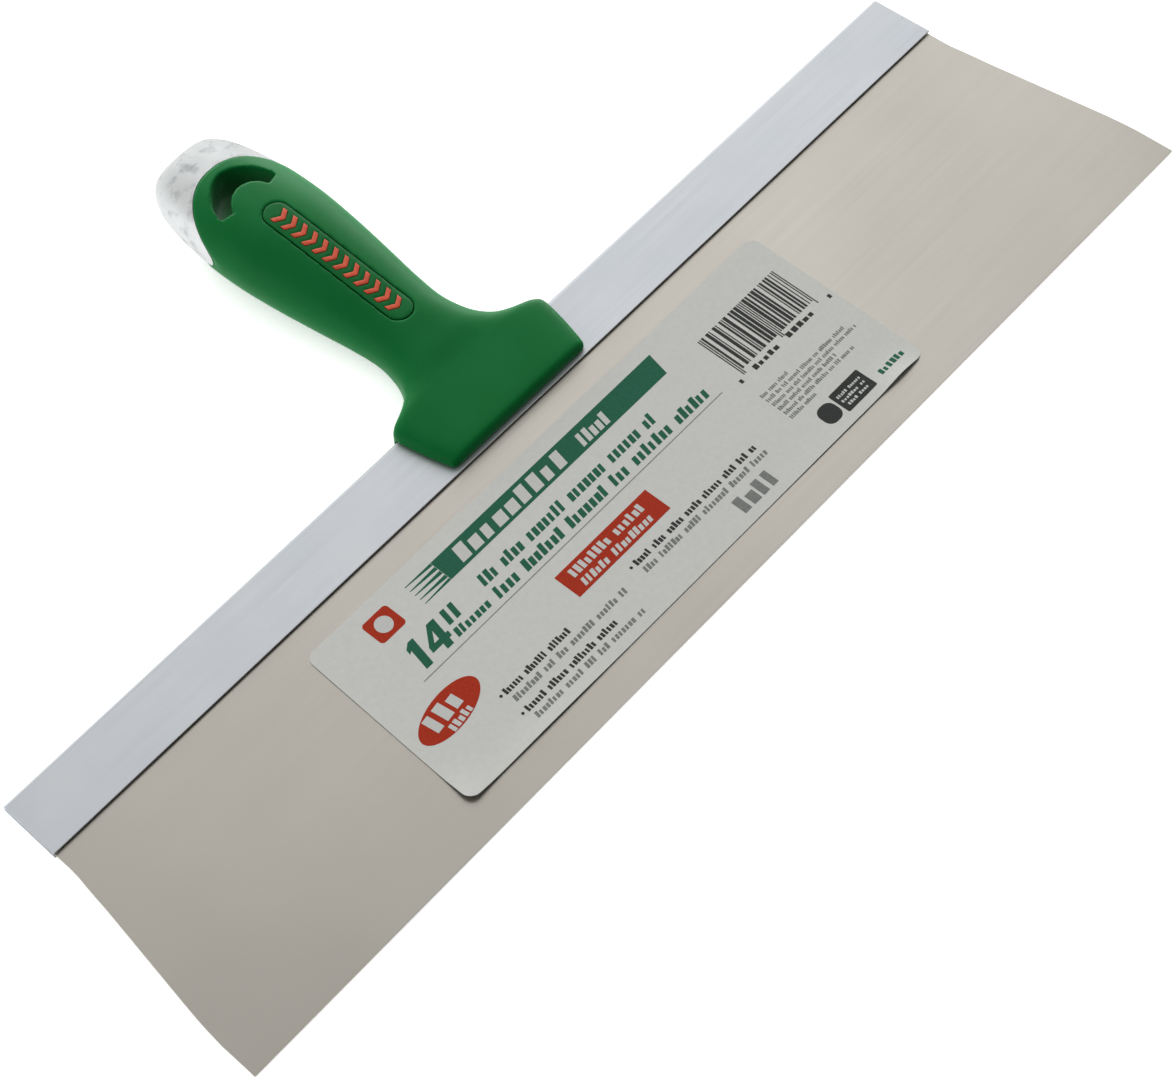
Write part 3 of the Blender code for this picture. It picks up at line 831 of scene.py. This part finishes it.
def printShapes():
    # the print, colour by colour; every word is a row of plain blocks
    lean, tilt = 0.2, 8
    # banner with five lines that thin out behind it, the outer two flush with its edges
    green = [[(-49.8, -19.9), (33.1, -19.9), (34.6, -12.6), (-49.8, -12.6)],
             [(-59.3, -12.85), (-49.9, -13.5), (-49.9, -12.6), (-59.3, -12.65)]]
    for i in (1, 2, 3):
        y = -12.75 - i * 1.75
        green.append([(-59.3, y - 0.1), (-49.9, y - 0.75), (-49.9, y + 0.35), (-59.3, y + 0.1)])
    green.append([(-59.3, -19.85), (-49.9, -19.9), (-49.9, -19.1), (-59.3, -19.65)])
    # size figure, in inches
    one = [(0.9, 0), (3.3, 0), (3.3, 8.8), (1.5, 8.8), (0, 7.5), (0, 5.9), (0.9, 6.5)]
    four = [(3.6, 0), (5.9, 0), (5.9, 1.9), (6.8, 1.9), (6.8, 3.6), (5.9, 3.6), (5.9, 8.8),
            (3.3, 8.8), (0, 3.6), (0, 1.9), (3.6, 1.9)]
    fourEye = [(1.9, 3.6), (3.6, 3.6), (3.6, 6.5)]
    green += [sheared(one, (-73.8, -32.9), lean), sheared(four, (-68.9, -32.9), lean),
              sheared(fourEye, (-68.9, -32.9), lean)]
    green += [bar(-60.0, -28.7, -58.4, -24.1, lean), bar(-57.3, -28.7, -55.7, -24.1, lean)]
    # the lines beside it, and a short word in the lower right corner
    green += wordRow(-61.0, -48.4, -32.8, 2.7, 7, 1, lean, (7, 7))
    green += wordRow(-46.0, 20.3, -27.8, 3.6, 34, 2, lean)
    green += wordRow(-46.2, 35.5, -33.1, 3.6, 39, 3, lean)
    green += wordRow(68.7, 78.2, -63.2, 1.9, 6, 4, 0, (6, 6))
    # square, ellipse and panel, each with white on it
    red = [rounded([(-74.9, -19.9), (-66.0, -19.9), (-66.0, -12.1), (-74.9, -12.1)], 1.2),
           ellipse((-78.0, -45.1), (11.2, 5.1), tilt),
           bar(-32.9, -47.9, 1.9, -39.3)]
    white = wordRow(-44.2, -2.9, -18.9, 5.1, 9, 5, lean, (9, 9))
    white += wordRow(1.8, 12.7, -18.8, 4.1, 5, 6, lean, (5, 5))
    white += wordRow(-29.4, -2.1, -43.2, 2.7, 15, 7, 0, (6, 9))
    white += wordRow(-29.4, -3.1, -46.9, 2.4, 16, 8, lean, (5, 9))
    white += [ellipse((-70.45, -16.0), (2.5, 2.5), 0, 32)]
    tilted = wordRow(-6.0, 6.2, -1.2, 5.2, 3, 9, 0, (3, 3))
    tilted += wordRow(-3.4, 5.0, -4.4, 2.3, 5, 10, 0, (5, 5))
    white += [rotated(block, (-78.6, -45.4), tilt) for block in tilted]
    # three headings with their bullets
    black = wordRow(-65.5, -41.6, -52.9, 2.0, 22, 11) + wordRow(-65.5, -32.1, -60.2, 2.0, 29, 12)
    black += wordRow(-16.6, 30.4, -52.9, 2.0, 41, 13)
    black += [ellipse(at, (0.45, 0.45), 0, 12) for at in ((-66.8, -52.0), (-66.9, -59.3), (-18.1, -52.0))]
    # bars that stand for nothing, with blocks under them
    black += barCode(45.7, 77.3, -34.1, -19.6, -35.6)
    black += wordRow(48.9, 59.0, -37.1, 1.7, 5, 14, 0, (5, 5))
    black += wordRow(62.4, 73.4, -37.1, 1.7, 5, 15, 0, (5, 5))
    black += [bar(43.1, -37.1, 44.1, -35.8), bar(79.2, -37.1, 80.2, -35.8)]
    # plain disc and panel
    black += [rounded([(47.6, -63.4), (53.5, -63.4), (53.5, -57.1), (47.6, -57.1)], 2.4),
              rounded([(54.2, -63.9), (65.7, -63.9), (65.7, -56.6), (54.2, -56.6)], 0.5)]
    white += wordRow(55.4, 64.6, -59.2, 0.9, 12, 16) + wordRow(55.4, 64.6, -60.9, 0.9, 10, 17)
    white += wordRow(56.0, 64.0, -62.6, 0.9, 9, 18)
    # rule, the lines under the headings, six lines of small print and a stamp
    grey = [bar(-76.0, -34.95, 37.7, -34.7)]
    grey += wordRow(-65.4, -23.6, -56.0, 1.9, 34, 19, 0.15)
    grey += wordRow(-65.4, -25.0, -63.2, 1.9, 33, 20, 0.15)
    grey += wordRow(-16.6, 31.1, -56.0, 1.9, 40, 21, 0.15)
    for i, right in enumerate((53.6, 74.3, 76.8, 66.1, 71.1, 53.2)):
        grey += wordRow(43.0, right, -44.1 - 1.98 * i, 1.2, round((right - 43) / 0.62), 22 + i)
    grey += wordRow(13.0, 27.6, -63.5, 5.0, 4, 30, 0.0, (4, 4))
    return {"green": green, "red": red, "black": black, "grey": grey, "white": white}


def makePrint():
    for name, shapes in printShapes().items():
        layer = 2 if name == "white" else 1
        high = layer * label["inkStep"] * label["ink"]
        piece = placed(f"label_ink_{name}", sheetMesh(
            name, shapes, label["pitch"], lambda x, y: labelTop(x, y) + high,
            lambda x, y: labelTop(x, y) + high - label["ink"]))
        finishPiece(piece, [inks[name]])


makeLabel()
makePrint()
print("label made")

# the hidden parts keep their shape
for names, material in ((("handle_core",), nylon),
                        (("core_rivet_left", "core_rivet_centre", "core_rivet_right",
                          "cap_pin_left", "cap_pin_right"), platedSteel)):
    for name in names:
        frame["nodes"][name].data.materials.clear()
        frame["nodes"][name].data.materials.append(material)


# floor, lights and camera

studio = {
    "floorSize": 6.0,
    "floorGap": 0.0002,                    # under the knife's lowest points
    "skyAxis": (0.25, 0.75, -0.6),         # toward the brightest part of the surround
    "skyDark": 0.05, "skyBright": 1.6,
    "softboxes": {
        # name: (at, aimed at, size, watts)
        "farSoftbox": ((0.8, 0.8, 1.12), (0, 0, 0), (1.2, 1.2), 3.9),
        "sideSoftbox": ((1.1, 1.15, 0.3), (0, 0.04, 0), (2.2, 0.9), 42),   # low, along the grip
        "leftSoftbox": ((-1.2, 0.4, 0.4), (0, 0.04, 0), (1.0, 1.0), 5),
        "floorSoftbox": ((-0.2, -0.2, 2.0), (0, 0, 0), (3.0, 3.0), 24),    # washes the floor to white
    },
    "cameraAt": (-0.3443, -0.3738, 0.71614),
    "cameraRight": (0.6599, -0.7508, -0.0266),
    "cameraUp": (0.643, 0.5462, 0.5368),
    "lens": 101.68,
}


def makeFloor():
    # rests under the grip's belly and the cutting edge
    edge = Vector((0, bladeLow.y, bladeLow.z))
    slope = min(((knifeOrigin.z - thick * mm) - edge.z) / (knifeOrigin.y + y * mm - edge.y)
                for y, _, thick, _ in sectionRows(0.5))
    half = studio["floorSize"] / 2
    mesh = bpy.data.meshes.new("studio_floor")
    mesh.from_pydata([(x, y, edge.z - studio["floorGap"] + slope * (y - edge.y)) for x, y in
                      ((-half, -half), (half, -half), (half, half), (-half, half))], [], [(0, 1, 2, 3)])
    floor = bpy.data.objects.new("studio_floor", mesh)
    bpy.context.scene.collection.objects.link(floor)
    material, _, shader = newMaterial("opalAcrylic", "#F8F8F8", Roughness=0.7, Emission_Strength=0.45)
    shader.inputs["Emission Color"].default_value = linearColour("#FFFFFF")
    mesh.materials.append(material)
    return floor


def makeSoftbox(name, at, target, size, watts, only):
    # lights only the given objects, or everything if there are none
    light = bpy.data.lights.new(name, "AREA")
    light.shape = "RECTANGLE"
    light.size, light.size_y = size
    light.energy = watts
    holder = bpy.data.objects.new(name, light)
    bpy.context.scene.collection.objects.link(holder)
    holder.location = at
    holder.rotation_euler = (Vector(target) - Vector(at)).to_track_quat("-Z", "Y").to_euler()
    if only:
        lit = bpy.data.collections.new(f"{name}Lights")
        for piece in only:
            lit.objects.link(piece)
        holder.light_linking.receiver_collection = lit


def makeStudio():
    floor = makeFloor()
    world = bpy.data.worlds.new("studio")
    world.use_nodes = True
    sky, background = world.node_tree, world.node_tree.nodes["Background"]
    towards = addNode(sky, "VectorMath", {
        0: addNode(sky, "TexCoord").outputs["Generated"], 1: studio["skyAxis"]}, operation="DOT_PRODUCT")
    shade = addNode(sky, "MapRange", {
        "Value": towards.outputs["Value"], "From Min": -1.0, "From Max": 1.0,
        "To Min": studio["skyDark"], "To Max": studio["skyBright"]})
    background.inputs["Color"].default_value = (1, 1, 1, 1)
    sky.links.new(shade.outputs["Result"], background.inputs["Strength"])
    bpy.context.scene.world = world
    # the side one is flagged off the metal
    gripPieces = [piece for piece in bpy.data.objects if piece.name.startswith(("grip_skin", "badge_"))]
    receivers = {"sideSoftbox": gripPieces, "floorSoftbox": [floor]}
    for name, (at, target, size, watts) in studio["softboxes"].items():
        makeSoftbox(name, at, target, size, watts, receivers.get(name, ()))
    camera = bpy.data.cameras.new("camera")
    camera.lens = studio["lens"]
    camera.sensor_width = 36
    camera.sensor_fit = "HORIZONTAL"
    camera.clip_start, camera.clip_end = 0.01, 20
    holder = bpy.data.objects.new("camera", camera)
    bpy.context.scene.collection.objects.link(holder)
    right, up = Vector(studio["cameraRight"]).normalized(), Vector(studio["cameraUp"])
    up = (up - right * up.dot(right)).normalized()
    turn = Matrix((right, up, right.cross(up))).transposed()
    holder.matrix_world = Matrix.Translation(studio["cameraAt"]) @ turn.to_4x4()
    bpy.context.scene.camera = holder
    bpy.context.scene.view_settings.view_transform = "Standard"


makeStudio()
print("studio made")
